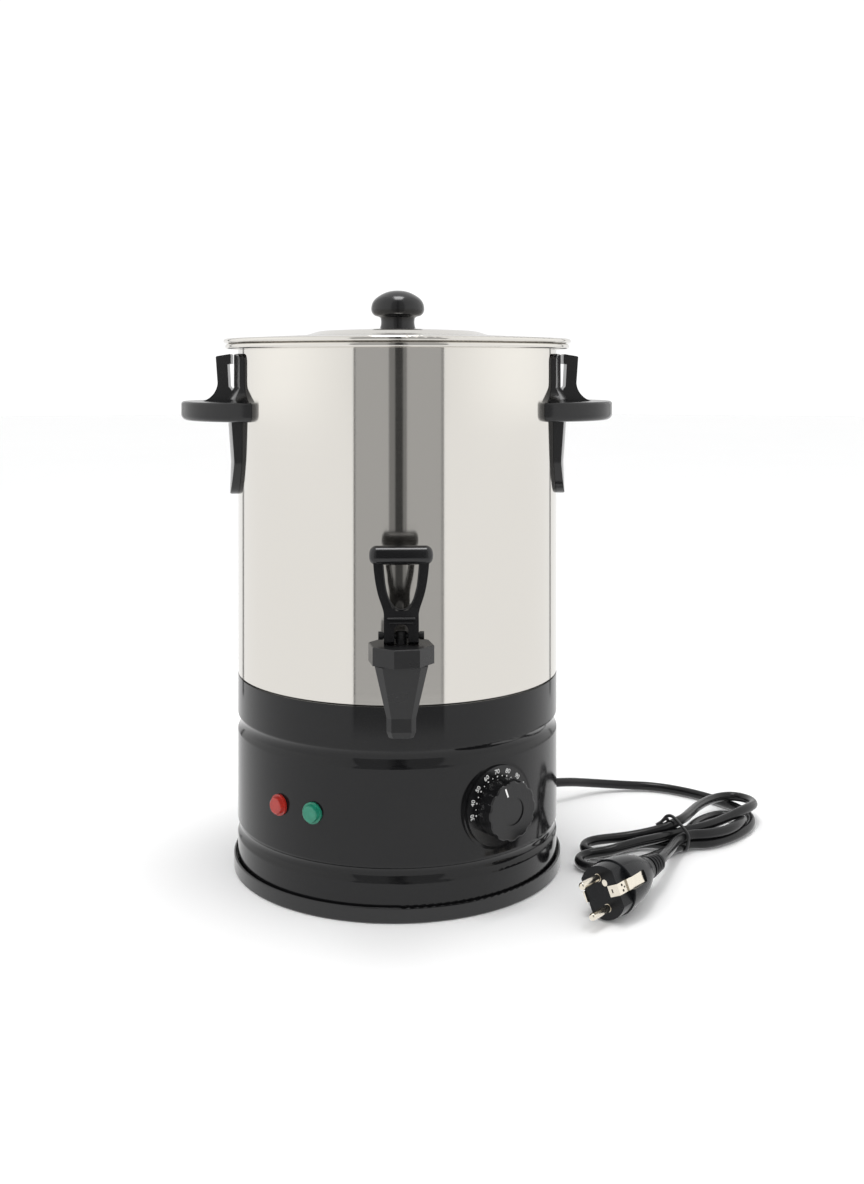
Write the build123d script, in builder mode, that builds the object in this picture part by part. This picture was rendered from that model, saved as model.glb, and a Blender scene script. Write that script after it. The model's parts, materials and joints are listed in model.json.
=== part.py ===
"""Countertop hot-water boiler: steel vessel with lid, lever tap, black base, thermostat and mains cord.

Frame: origin on the vessel's axis at the surface it stands on, +Z up, the tap on the -Y side and the
handles on the +X and -X sides. Millimetres. An azimuth is measured from the tap (-Y) towards +X.
"""

import os
from math import cos, pi, radians, sin, tan

from build123d import *

os.makedirs("parts", exist_ok=True)

# ---- driving dimensions ----
BODY_R = 115.0  # outer radius of the steel vessel and of the base skirt
WALL = 0.8  # vessel sheet
SKIRT_WALL = 1.0
GAP = 0.1  # between pieces of one body that lie against each other
RUN_GAP = 0.3  # between pieces that move apart

FOOT_R = 117.8
FOOT_TOP = 10.3
SKIRT_BOTTOM = 5.2
SKIRT_TOP = 137.4
LOW_GROOVE_Z = 30.0
HIGH_GROOVE_Z = 104.0
GROOVE_DEPTH = 2.0

FLOOR_Z = 139.3  # underside of the vessel's floor
RIM_Z = 372.0  # top of the rolled rim
RIM_R = 124.2
RIM_BEAD_R = 1.9
LID_R = 125.4
LID_BEAD_R = 1.6
KNOB_R = 19.3
KNOB_TOP = 411.1

TAP_Y = -153.0  # the tap's vertical axis
SHANK_Z = 165.5
SPOUT_TIP_Z = 130.5
SPOUT_TOP_Z = 175.2
SEAT_Z = 162.0
BONNET_R = 20.6  # across the corners
BONNET_TURN = 9.7
BONNET_TOP_Z = 186.6
PIVOT_Z = 191.5
LEVER_TRAVEL = 50.0  # degrees
STEM_LIFT = 3.0
LEVER_TOP_Z = 246.0

LAMP_Z = 66.0
RED_AZ = -43.4
GREEN_AZ = -29.4
DIAL_AZ = 34.3
DIAL_Z = 67.5
DIAL_R = 26.2
DIAL_SEAT = 114.3  # distance of the flat seat from the vessel's axis
CONTROL_KNOB_R = 19.35

GLAND_AZ = 132.9
GLAND_Z = 17.5
CORD_D = 7.0


# ---- helpers ----
def outward(azimuth):
    """Unit vector from the axis towards an azimuth."""
    return Vector(sin(radians(azimuth)), -cos(radians(azimuth)), 0)


def radial_plane(azimuth, height, reach=0.0):
    """A plane facing outward at an azimuth: local x runs to the right, local y up."""
    out = outward(azimuth)
    across = Vector(cos(radians(azimuth)), sin(radians(azimuth)), 0)
    return Plane(origin=out * reach + Vector(0, 0, height), x_dir=across, z_dir=out)


def meridian_plane(angle):
    """The half plane at an angle from +X: local x is the radius and local y the height."""
    a = radians(angle)
    return Plane(origin=(0, 0, 0), x_dir=(cos(a), sin(a), 0), z_dir=(sin(a), -cos(a), 0))


def finish(part, label):
    """Label a piece and write its STEP file."""
    part.label = label
    export_step(part, f"parts/{label}.step")


def route_radii(points):
    """For each corner: 0.45 of its shorter run, divided by the tangent of half the turn."""
    radii = []
    for before, corner, after in zip(points, points[1:], points[2:]):
        run_in = Vector(*corner) - Vector(*before)
        run_out = Vector(*after) - Vector(*corner)
        turn = run_in.get_angle(run_out)
        radii.append(0.45 * min(run_in.length, run_out.length) / tan(radians(turn) / 2))
    return radii


# ---- foot ring and base plate ----
FLANGE_R = 100.0
BASE_SCREW_R = 106.0
BASE_SCREWS = 4
BASE_SCREW_TURN = 15

with BuildPart() as foot_ring:
    with BuildSketch(Plane.XZ):
        with BuildLine():
            Polyline((FLANGE_R, 0), (FOOT_R - 0.6, 0), (FOOT_R, 0.6), (FOOT_R, FOOT_TOP - 0.9))
            ThreePointArc(
                (FOOT_R, FOOT_TOP - 0.9), (FOOT_R - 0.9, FOOT_TOP), (FOOT_R - 1.8, FOOT_TOP - 0.9)
            )
            Polyline(
                (FOOT_R - 1.8, FOOT_TOP - 0.9),
                (FOOT_R - 1.8, 4.0),
                (FLANGE_R, 4.0),
                (FLANGE_R, 0),
            )
        make_face()
    revolve(axis=Axis.Z)
    with BuildSketch(Plane.XY):
        with PolarLocations(BASE_SCREW_R, BASE_SCREWS, start_angle=BASE_SCREW_TURN):
            Circle(2.2)
    extrude(amount=4, mode=Mode.SUBTRACT)
    with BuildSketch(Plane.XY):
        with PolarLocations(BASE_SCREW_R, BASE_SCREWS, start_angle=BASE_SCREW_TURN):
            Circle(3.9)
    extrude(amount=3, mode=Mode.SUBTRACT)
finish(foot_ring.part, "foot_ring")

with BuildPart() as base_plate:
    with BuildSketch(Plane.XY.offset(4.1)):
        Circle(113.5)
        with PolarLocations(BASE_SCREW_R, BASE_SCREWS, start_angle=BASE_SCREW_TURN):
            Circle(2.2, mode=Mode.SUBTRACT)
        for ring_r, slots in ((50, 12), (68, 18)):
            with PolarLocations(ring_r, slots):
                SlotOverall(14, 4, mode=Mode.SUBTRACT)
    extrude(amount=1.0)
finish(base_plate.part, "base_plate")

with BuildPart() as base_plate_screws:
    with BuildSketch(Plane.XY.offset(0.7)):
        with PolarLocations(BASE_SCREW_R, BASE_SCREWS, start_angle=BASE_SCREW_TURN):
            Circle(3.6)
    extrude(amount=2.2)
    with BuildSketch(Plane.XY.offset(0.7)):
        with PolarLocations(BASE_SCREW_R, BASE_SCREWS, start_angle=BASE_SCREW_TURN):
            Circle(1.9)
    extrude(amount=10.3)
    with BuildSketch(Plane.XY.offset(0.7)):
        with PolarLocations(BASE_SCREW_R, BASE_SCREWS, start_angle=BASE_SCREW_TURN):
            Rectangle(4.4, 0.8)
            Rectangle(0.8, 4.4)
    extrude(amount=1.2, mode=Mode.SUBTRACT)
finish(base_plate_screws.part, "base_plate_screws")

# ---- base skirt: enamelled sheet with two rolled grooves ----
LAMP_HOLE_R = 5.2
SEAT_R = 28.4


def groove_corners(sketch, radius):
    """The corners that the rolled grooves make on one face of the sheet."""
    near = sketch.vertices().filter_by(lambda v: abs(v.X - radius) < 0.05)
    return [v for v in near if SKIRT_BOTTOM + 5 < v.Y < SKIRT_TOP - 5]


with BuildPart() as base_skirt:
    with BuildSketch(Plane.XZ) as skirt_section:
        with BuildLine():
            inner = BODY_R - SKIRT_WALL
            outer_start = (BODY_R, SKIRT_BOTTOM)
            for middle, half in ((LOW_GROOVE_Z, 5.0), (HIGH_GROOVE_Z, 5.5)):
                Line(outer_start, (BODY_R, middle - half))
                ThreePointArc(
                    (BODY_R, middle - half),
                    (BODY_R - GROOVE_DEPTH, middle),
                    (BODY_R, middle + half),
                )
                outer_start = (BODY_R, middle + half)
            Line(outer_start, (BODY_R, SKIRT_TOP))
            Line((BODY_R, SKIRT_TOP), (inner, SKIRT_TOP))
            inner_start = (inner, SKIRT_TOP)
            for middle, half in ((HIGH_GROOVE_Z, 5.9), (LOW_GROOVE_Z, 5.4)):
                Line(inner_start, (inner, middle + half))
                ThreePointArc(
                    (inner, middle + half),
                    (inner - GROOVE_DEPTH, middle),
                    (inner, middle - half),
                )
                inner_start = (inner, middle - half)
            Line(inner_start, (inner, SKIRT_BOTTOM + SKIRT_WALL))
            Polyline(
                (inner, SKIRT_BOTTOM + SKIRT_WALL),
                (FLANGE_R, SKIRT_BOTTOM + SKIRT_WALL),
                (FLANGE_R, SKIRT_BOTTOM),
                (BODY_R, SKIRT_BOTTOM),
            )
        make_face()
        fillet(groove_corners(skirt_section, BODY_R), 2.5)
        fillet(groove_corners(skirt_section, BODY_R - SKIRT_WALL), 2.5)
    revolve(axis=Axis.Z)
    # flat seat pressed into the sheet for the thermostat's scale plate
    with BuildSketch(radial_plane(DIAL_AZ, DIAL_Z, 110.0)):
        Circle(SEAT_R)
    extrude(amount=DIAL_SEAT - 110.0)
    with BuildSketch(radial_plane(DIAL_AZ, DIAL_Z, DIAL_SEAT)):
        Circle(SEAT_R)
    extrude(amount=6, mode=Mode.SUBTRACT)
    with BuildSketch(radial_plane(DIAL_AZ, DIAL_Z, 100.0)):
        Circle(SEAT_R - 1.2)
    extrude(amount=DIAL_SEAT - 1.4 - 100.0, mode=Mode.SUBTRACT)
    with BuildSketch(radial_plane(DIAL_AZ, DIAL_Z, 100.0)):
        Circle(5)
        with GridLocations(22, 1, 2, 1):
            Circle(2.1)
    extrude(amount=30, mode=Mode.SUBTRACT)
    for lamp_az in (RED_AZ, GREEN_AZ):
        with BuildSketch(radial_plane(lamp_az, LAMP_Z, 100.0)):
            Circle(LAMP_HOLE_R)
        extrude(amount=30, mode=Mode.SUBTRACT)
    with BuildSketch(radial_plane(GLAND_AZ, GLAND_Z, 100.0)):
        Circle(6.1)
    extrude(amount=30, mode=Mode.SUBTRACT)
    with BuildSketch(Plane.XY):
        with PolarLocations(BASE_SCREW_R, BASE_SCREWS, start_angle=BASE_SCREW_TURN):
            Circle(2.0)
    extrude(amount=9, mode=Mode.SUBTRACT)
finish(base_skirt.part, "base_skirt")

# ---- pilot lamps: faceted lens, body with thread, clip nut ----


def lamp_lens(azimuth):
    """A stepped translucent lens with a low faceted dome."""
    with BuildPart() as lens:
        with BuildSketch(radial_plane(azimuth, LAMP_Z, BODY_R + 0.3)):
            Circle(7.0)
        extrude(amount=1.5)
        with BuildSketch(radial_plane(azimuth, LAMP_Z, BODY_R + 1.8)):
            RegularPolygon(radius=5.9, side_count=16)
        extrude(amount=3.0, taper=12)
        fillet(lens.faces().sort_by(Axis(origin=(0, 0, 0), direction=outward(azimuth)))[-1].edges(), 0.8)
    return lens.part


finish(lamp_lens(RED_AZ), "lamp_red_lens")
finish(lamp_lens(GREEN_AZ), "lamp_green_lens")

with BuildPart() as lamp_bodies:
    for lamp_az in (RED_AZ, GREEN_AZ):
        with BuildSketch(radial_plane(lamp_az, LAMP_Z, 92.0)):
            Circle(4.9)
        extrude(amount=BODY_R + 0.2 - 92.0)
        with BuildSketch(radial_plane(lamp_az, LAMP_Z, 84.0)):
            with GridLocations(4, 1, 2, 1):
                Rectangle(0.8, 4.0)
        extrude(amount=8.0)
finish(lamp_bodies.part, "lamp_bodies")

with BuildPart() as lamp_nuts:
    for lamp_az in (RED_AZ, GREEN_AZ):
        with BuildSketch(radial_plane(lamp_az, LAMP_Z, 109.8)):
            RegularPolygon(radius=8.0, side_count=6)
            Circle(5.0, mode=Mode.SUBTRACT)
        extrude(amount=3.2)
finish(lamp_nuts.part, "lamp_nuts")

# ---- thermostat ----
with BuildPart() as thermostat_scale:
    with BuildSketch(radial_plane(DIAL_AZ, DIAL_Z, DIAL_SEAT + GAP)):
        Circle(DIAL_R)
        Circle(5, mode=Mode.SUBTRACT)
        with GridLocations(22, 1, 2, 1):
            Circle(2.1, mode=Mode.SUBTRACT)
    extrude(amount=1.5)
    with BuildSketch(radial_plane(DIAL_AZ, DIAL_Z, DIAL_SEAT + GAP + 0.6)):
        with GridLocations(22, 1, 2, 1):
            Circle(3.7)
    extrude(amount=2, mode=Mode.SUBTRACT)
finish(thermostat_scale.part, "thermostat_scale")

with BuildPart() as thermostat_screws:
    with BuildSketch(radial_plane(DIAL_AZ, DIAL_Z, 103.0)):
        with GridLocations(22, 1, 2, 1):
            Circle(1.95)
    extrude(amount=DIAL_SEAT + 1.4 - 103.0)
    with BuildSketch(radial_plane(DIAL_AZ, DIAL_Z, DIAL_SEAT + 0.8)):
        with GridLocations(22, 1, 2, 1):
            Circle(3.5)
    extrude(amount=0.7)
finish(thermostat_screws.part, "thermostat_screws")

THERMO_FRONT = DIAL_SEAT - 1.5
THERMO_DEEP = 24.0

with BuildPart() as thermostat_body:
    with BuildSketch(radial_plane(DIAL_AZ, DIAL_Z, THERMO_FRONT - THERMO_DEEP)):
        RectangleRounded(32, 36, 3)
    extrude(amount=THERMO_DEEP)
    with BuildSketch(radial_plane(DIAL_AZ, DIAL_Z, THERMO_FRONT)):
        Circle(4.8)
    extrude(amount=3.0)
    with BuildSketch(radial_plane(DIAL_AZ, DIAL_Z, 95.0)):
        Circle(3.05)
    extrude(amount=30, mode=Mode.SUBTRACT)
    with BuildSketch(radial_plane(DIAL_AZ, DIAL_Z, 102.5)):
        with GridLocations(22, 1, 2, 1):
            Circle(2.0)
    extrude(amount=30, mode=Mode.SUBTRACT)
    with BuildSketch(radial_plane(DIAL_AZ, DIAL_Z, THERMO_FRONT - THERMO_DEEP - 7)):
        with GridLocations(14, 1, 2, 1):
            Rectangle(0.8, 6.3)
    extrude(amount=7)
finish(thermostat_body.part, "thermostat_body")

SCALE_FACE = DIAL_SEAT + GAP + 1.5
KNOB_BACK = SCALE_FACE + RUN_GAP + 0.1
KNOB_FACE = 130.0
SHAFT_END = 125.0
FLUTES = 12
KNOB_SKIRT_R = 18.4

with BuildPart() as thermostat_shaft:
    with BuildSketch(radial_plane(DIAL_AZ, DIAL_Z, 95.4)):
        Circle(3.0)
    extrude(amount=SHAFT_END - 95.4)
    with BuildSketch(radial_plane(DIAL_AZ, DIAL_Z, 118.0)):
        with Locations((0, 3.4)):
            Rectangle(7, 2.8)
    extrude(amount=12, mode=Mode.SUBTRACT)
finish(thermostat_shaft.part, "thermostat_shaft")

with BuildPart() as thermostat_knob:
    with BuildSketch(radial_plane(DIAL_AZ, DIAL_Z, KNOB_BACK)):
        Circle(KNOB_SKIRT_R)
    extrude(amount=3.2)
    with BuildSketch(radial_plane(DIAL_AZ, DIAL_Z, KNOB_BACK + 3.2)):
        Circle(CONTROL_KNOB_R)
        with PolarLocations(CONTROL_KNOB_R + 3.0, FLUTES, start_angle=15):
            Circle(4.1, mode=Mode.SUBTRACT)
    extrude(amount=KNOB_FACE - KNOB_BACK - 3.2)
    knob_axis = Axis(origin=(0, 0, DIAL_Z), direction=outward(DIAL_AZ))
    fillet(thermostat_knob.faces().sort_by(knob_axis)[-1].edges(), 1.0)
    with BuildSketch(radial_plane(DIAL_AZ, DIAL_Z, KNOB_FACE - 0.8)):
        Circle(9.0)
    extrude(amount=2, mode=Mode.SUBTRACT)
    with BuildSketch(radial_plane(DIAL_AZ, DIAL_Z, KNOB_BACK - 1)):
        Circle(3.02)
    extrude(amount=SHAFT_END + 0.4 - KNOB_BACK + 1, mode=Mode.SUBTRACT)
finish(thermostat_knob.part, "thermostat_knob")

thermo_out = outward(DIAL_AZ)
capillary_start = thermo_out * 98.0 + Vector(0, 0, DIAL_Z + 18.1)
BULB_END = Vector(36.0, -30.0, 131.0)

with BuildPart() as thermostat_capillary:
    with BuildLine():
        FilletPolyline(
            capillary_start,
            (capillary_start.X, capillary_start.Y, 118),
            (50, -36, 122),
            (44, -30, 131),
            BULB_END,
            radius=3,
        )
    with BuildSketch(Plane(origin=capillary_start, z_dir=(0, 0, 1))):
        Circle(0.9)
    sweep()
    with BuildSketch(Plane.YZ.offset(-12)):
        with Locations((BULB_END.Y, BULB_END.Z)):
            Circle(3.3)
    extrude(amount=BULB_END.X + 12.5)
finish(thermostat_capillary.part, "thermostat_capillary")

# ---- vessel ----
with BuildPart() as vessel_wall:
    with BuildSketch(Plane.XZ):
        bead_x = RIM_R - RIM_BEAD_R
        bead_z = RIM_Z - RIM_BEAD_R
        with BuildLine():
            flange_top = RIM_Z - 0.8
            flange_low = flange_top - WALL
            inside = BODY_R - WALL
            Polyline(
                (bead_x, flange_low),
                (BODY_R + 2.2, flange_low),
            )
            ThreePointArc(
                (BODY_R + 2.2, flange_low),
                (BODY_R + 0.65, flange_low - 0.65),
                (BODY_R, flange_low - 2.2),
            )
            Polyline(
                (BODY_R, flange_low - 2.2),
                (BODY_R, SKIRT_TOP + 1.4),
                (BODY_R - 1.2, SKIRT_TOP + 0.2),
                (BODY_R - 1.2, 121.0),
                (BODY_R - 2.0, 121.0),
                (BODY_R - 2.0, SKIRT_TOP + 0.4),
                (inside, SKIRT_TOP + 1.6),
                (inside, flange_top - 3.0),
            )
            ThreePointArc(
                (inside, flange_top - 3.0),
                (inside + 0.88, flange_top - 0.88),
                (inside + 3.0, flange_top),
            )
            Polyline((inside + 3.0, flange_top), (bead_x, flange_top), (bead_x, flange_low))
        make_face()
        with Locations((bead_x, bead_z)):
            Circle(RIM_BEAD_R)
    revolve(axis=Axis.Z)
    with BuildSketch(radial_plane(0, SHANK_Z, 100.0)):
        Circle(8.2)
    extrude(amount=30, mode=Mode.SUBTRACT)
    for handle_side in (90, -90):
        for spread in (-15, 15):
            with BuildSketch(radial_plane(handle_side + spread, 324.3, 100.0)):
                Circle(2.7)
            extrude(amount=30, mode=Mode.SUBTRACT)
finish(vessel_wall.part, "vessel_wall")

STUD_R = 3.0
with BuildPart() as vessel_floor:
    with BuildSketch(Plane.XY.offset(FLOOR_Z)):
        Circle(BODY_R - WALL - GAP)
    extrude(amount=1.2)
    with BuildSketch(Plane.XY.offset(128)):
        Circle(112.8)
        Circle(111.8, mode=Mode.SUBTRACT)
    extrude(amount=FLOOR_Z - 128)
    with BuildSketch(Plane.XY.offset(112)):
        Circle(STUD_R)
    extrude(amount=FLOOR_Z - 112)
finish(vessel_floor.part, "vessel_floor")

# ---- heater under the vessel's floor ----
PLATE_T = 4.4
PLATE_Z = FLOOR_Z - GAP - PLATE_T
ELEMENT_R = 60.0
ELEMENT_TUBE_R = 4.0
ELEMENT_Z = PLATE_Z - GAP - ELEMENT_TUBE_R
ELEMENT_ARC = 310

with BuildPart() as diffuser_plate:
    with BuildSketch(Plane.XY.offset(PLATE_Z)):
        Circle(80)
        Circle(STUD_R + 0.3, mode=Mode.SUBTRACT)
    extrude(amount=PLATE_T)
finish(diffuser_plate.part, "diffuser_plate")

with BuildPart() as heating_element:
    with BuildSketch(meridian_plane(-65)):
        with Locations((ELEMENT_R, ELEMENT_Z)):
            Circle(ELEMENT_TUBE_R)
    revolve(axis=Axis.Z, revolution_arc=-ELEMENT_ARC)
    end_angles = (-65, -65 - ELEMENT_ARC)
    for end_angle in end_angles:
        cold_x = ELEMENT_R * cos(radians(end_angle))
        cold_y = ELEMENT_R * sin(radians(end_angle))
        with BuildSketch(Plane.XY.offset(ELEMENT_Z - 22)):
            with Locations((cold_x, cold_y)):
                Circle(ELEMENT_TUBE_R)
        extrude(amount=22)
        with BuildSketch(Plane.XY.offset(ELEMENT_Z - 34)):
            with Locations((cold_x, cold_y)):
                Circle(1.6)
        extrude(amount=13)
    for end_angle in end_angles:
        end_x = ELEMENT_R * cos(radians(end_angle))
        end_y = ELEMENT_R * sin(radians(end_angle))
        with Locations((end_x, end_y, ELEMENT_Z)):
            Sphere(ELEMENT_TUBE_R)
finish(heating_element.part, "heating_element")

with BuildPart() as heater_clamp_bar:
    with BuildSketch(Plane.XY.offset(ELEMENT_Z - ELEMENT_TUBE_R - GAP - 3)):
        with Locations(Rotation(0, 0, 70)):
            SlotOverall(138, 16)
        Circle(STUD_R + 0.3, mode=Mode.SUBTRACT)
    extrude(amount=3)
finish(heater_clamp_bar.part, "heater_clamp_bar")

BAR_Z = ELEMENT_Z - ELEMENT_TUBE_R - GAP - 3
with BuildPart() as heater_clamp_nut:
    with BuildSketch(Plane.XY.offset(BAR_Z - GAP - 5)):
        RegularPolygon(radius=5.8, side_count=6)
        Circle(STUD_R + 0.02, mode=Mode.SUBTRACT)
    extrude(amount=5)
finish(heater_clamp_nut.part, "heater_clamp_nut")

with BuildPart() as thermal_cutout:
    with BuildSketch(Plane.XY.offset(PLATE_Z - GAP - 9)):
        with Locations((-30, -12)):
            Circle(8.5)
    extrude(amount=9)
    with BuildSketch(Plane.XY.offset(PLATE_Z - GAP - 16)):
        with Locations((-34.5, -12), (-25.5, -12)):
            Rectangle(0.8, 6.3)
    extrude(amount=7)
finish(thermal_cutout.part, "thermal_cutout")

# ---- terminal block, gland and wiring ----
GLAND_OUT = 12.0  # how far the gland stands out of the skirt
gland_out = outward(GLAND_AZ)
cord_exit = gland_out * (BODY_R + GLAND_OUT) + Vector(0, 0, GLAND_Z)

with BuildPart() as terminal_block:
    with BuildSketch(Plane.XY.offset(6.3)):
        with Locations((40, 45)):
            RectangleRounded(38, 18, 2)
    extrude(amount=15)
    with BuildSketch(Plane.XY.offset(14)):
        with Locations((40, 45)):
            with GridLocations(11, 1, 3, 1):
                Circle(2.4)
    extrude(amount=10, mode=Mode.SUBTRACT)
finish(terminal_block.part, "terminal_block")

with BuildPart() as cord_gland:
    with BuildSketch(radial_plane(GLAND_AZ, GLAND_Z, BODY_R + 0.2)):
        Circle(6.9)
    extrude(amount=3.0)
    with BuildSketch(radial_plane(GLAND_AZ, GLAND_Z, BODY_R + 3.2)):
        Circle(6.2)
    extrude(amount=GLAND_OUT - 3.2, taper=8)
    with BuildSketch(radial_plane(GLAND_AZ, GLAND_Z, 102.0)):
        Circle(6.0)
    extrude(amount=BODY_R + 0.2 - 102.0)
    with BuildSketch(radial_plane(GLAND_AZ, GLAND_Z, 90.0)):
        Circle(CORD_D / 2)
    extrude(amount=BODY_R + GLAND_OUT - 1.5 - 90.0, mode=Mode.SUBTRACT)
finish(cord_gland.part, "cord_gland")

with BuildPart() as gland_nut:
    with BuildSketch(radial_plane(GLAND_AZ, GLAND_Z, 107.0)):
        RegularPolygon(radius=8.3, side_count=6)
        Circle(6.05, mode=Mode.SUBTRACT)
    extrude(amount=4.8)
finish(gland_nut.part, "gland_nut")


def wire(points, bend):
    """An insulated wire along straight runs with small arcs."""
    start = Vector(*points[0])
    with BuildPart() as lead:
        with BuildLine():
            FilletPolyline(*points, radius=bend)
        with BuildSketch(Plane(origin=start, z_dir=Vector(*points[1]) - start)):
            Circle(1.2)
        sweep()
    return lead.part


thermo_tab = outward(DIAL_AZ) * (THERMO_FRONT - THERMO_DEEP - 8.5)
with BuildPart() as mains_tails:
    # the sheathed cord's end inside the base, from the gland to the terminal block
    with BuildLine():
        FilletPolyline(
            gland_out * 101.8 + Vector(0, 0, GLAND_Z),
            gland_out * 88.0 + Vector(0, 0, GLAND_Z),
            (54, 58.8, 14),
            (44, 58.2, 12),
            radius=6,
        )
    with BuildSketch(Plane(origin=gland_out * 101.8 + Vector(0, 0, GLAND_Z), z_dir=gland_out * -1)):
        Circle(CORD_D / 2 - 0.1)
    sweep()
finish(mains_tails.part, "mains_tails")

element_ends = [
    Vector(ELEMENT_R * cos(radians(a)), ELEMENT_R * sin(radians(a)), ELEMENT_Z - 34.2) for a in end_angles
]
wires = [
    wire(
        [
            (29, 35.8, 16),
            (29, 20, 16),
            (thermo_tab.X - 9, thermo_tab.Y + 14, 55),
            (thermo_tab.X - 5.9, thermo_tab.Y - 3.8, DIAL_Z),
        ],
        5,
    ),
    wire(
        [
            (thermo_tab.X + 5.9, thermo_tab.Y + 3.8, DIAL_Z),
            (thermo_tab.X + 1, thermo_tab.Y + 16, 72),
            (element_ends[0].X, element_ends[0].Y, 80),
            tuple(element_ends[0]),
        ],
        4,
    ),
    wire(
        [
            (51, 35.8, 16),
            (51, 22, 16),
            (element_ends[1].X, element_ends[1].Y, 60),
            tuple(element_ends[1]),
        ],
        5,
    ),
]
with BuildPart() as wiring:
    for lead in wires:
        add(lead)
finish(wiring.part, "wiring")

# ---- lid ----
SEAT_FLAT = 383.4
LID_T = 0.8

with BuildPart() as lid:
    with BuildSketch(Plane.XZ):
        lid_bead_x = LID_R - LID_BEAD_R
        lid_bead_z = RIM_Z + RUN_GAP + LID_BEAD_R
        edge_top = lid_bead_z + LID_BEAD_R
        crown = [
            (lid_bead_x, edge_top),
            (72, 378.0),
            (66, 378.6),
            (59, 380.9),
            (54, 381.6),
            (14, SEAT_FLAT),
            (2.8, SEAT_FLAT),
        ]
        with BuildLine():
            Polyline(*crown)
            Polyline(
                crown[-1],
                *[(x, z - LID_T) for x, z in reversed(crown)],
                crown[0],
            )
        make_face()
        with Locations((lid_bead_x, lid_bead_z)):
            Circle(LID_BEAD_R)
    revolve(axis=Axis.Z)
finish(lid.part, "lid")

with BuildPart() as lid_locating_ring:
    with BuildSketch(Plane.XZ):
        with BuildLine():
            Polyline(
                (112.6, 366.5),
                (112.6, 375.1),
                (104.0, 375.5),
                (104.0, 374.7),
                (111.8, 374.3),
                (111.8, 366.5),
                close=True,
            )
        make_face()
    revolve(axis=Axis.Z)
finish(lid_locating_ring.part, "lid_locating_ring")

KNOB_WIDE_Z = 397.5
KNOB_FOOT_Z = SEAT_FLAT + GAP
with BuildPart() as lid_knob:
    with BuildSketch(Plane.XZ):
        with BuildLine():
            dome = KNOB_TOP - KNOB_WIDE_Z
            diagonal = sin(radians(45))
            Line((0, KNOB_FOOT_Z), (13.1, KNOB_FOOT_Z))
            ThreePointArc((13.1, KNOB_FOOT_Z), (12.2, 387.0), (12.6, 391.3))
            Line((12.6, 391.3), (14.2, 392.2))
            ThreePointArc((14.2, 392.2), (17.9, 393.9), (KNOB_R, KNOB_WIDE_Z))
            Spline(
                (KNOB_R, KNOB_WIDE_Z),
                (KNOB_R * diagonal, KNOB_WIDE_Z + dome * diagonal),
                (0, KNOB_TOP),
                tangents=((0, 1), (-1, 0)),
            )
            Line((0, KNOB_TOP), (0, KNOB_FOOT_Z))
        make_face()
    revolve(axis=Axis.Z)
    with BuildSketch(Plane.XY.offset(KNOB_FOOT_Z - 1)):
        Circle(2.42)
    extrude(amount=17, mode=Mode.SUBTRACT)
finish(lid_knob.part, "lid_knob")

WASHER_TOP = SEAT_FLAT - LID_T - GAP
with BuildPart() as lid_knob_washer:
    with BuildSketch(Plane.XY.offset(WASHER_TOP - 1.0)):
        Circle(8)
        Circle(2.6, mode=Mode.SUBTRACT)
    extrude(amount=1.0)
finish(lid_knob_washer.part, "lid_knob_washer")

with BuildPart() as lid_knob_screw:
    with BuildSketch(Plane.XY.offset(WASHER_TOP - 1.0 - GAP - 3.0)):
        Circle(4.6)
    extrude(amount=3.0)
    with BuildSketch(Plane.XY.offset(WASHER_TOP - 4)):
        Circle(2.4)
    extrude(amount=18)
    with BuildSketch(Plane.XY.offset(WASHER_TOP - 1.0 - GAP - 3.0)):
        Rectangle(6, 1)
        Rectangle(1, 6)
    extrude(amount=1.4, mode=Mode.SUBTRACT)
finish(lid_knob_screw.part, "lid_knob_screw")

# ---- handles: one moulding each, made on the +X side and turned for the other ----
LEDGE_LOW = 317.5
LEDGE_TOP = 331.0
HANDLE_TOP = 364.8
LEDGE_CENTRE_X = 99.6
LEDGE_R = 56.4
PLATE_R = 118.0
UPRIGHT_IN = 122.4
UPRIGHT_HALF = 8.0
WALL_R = BODY_R + 0.1

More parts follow.
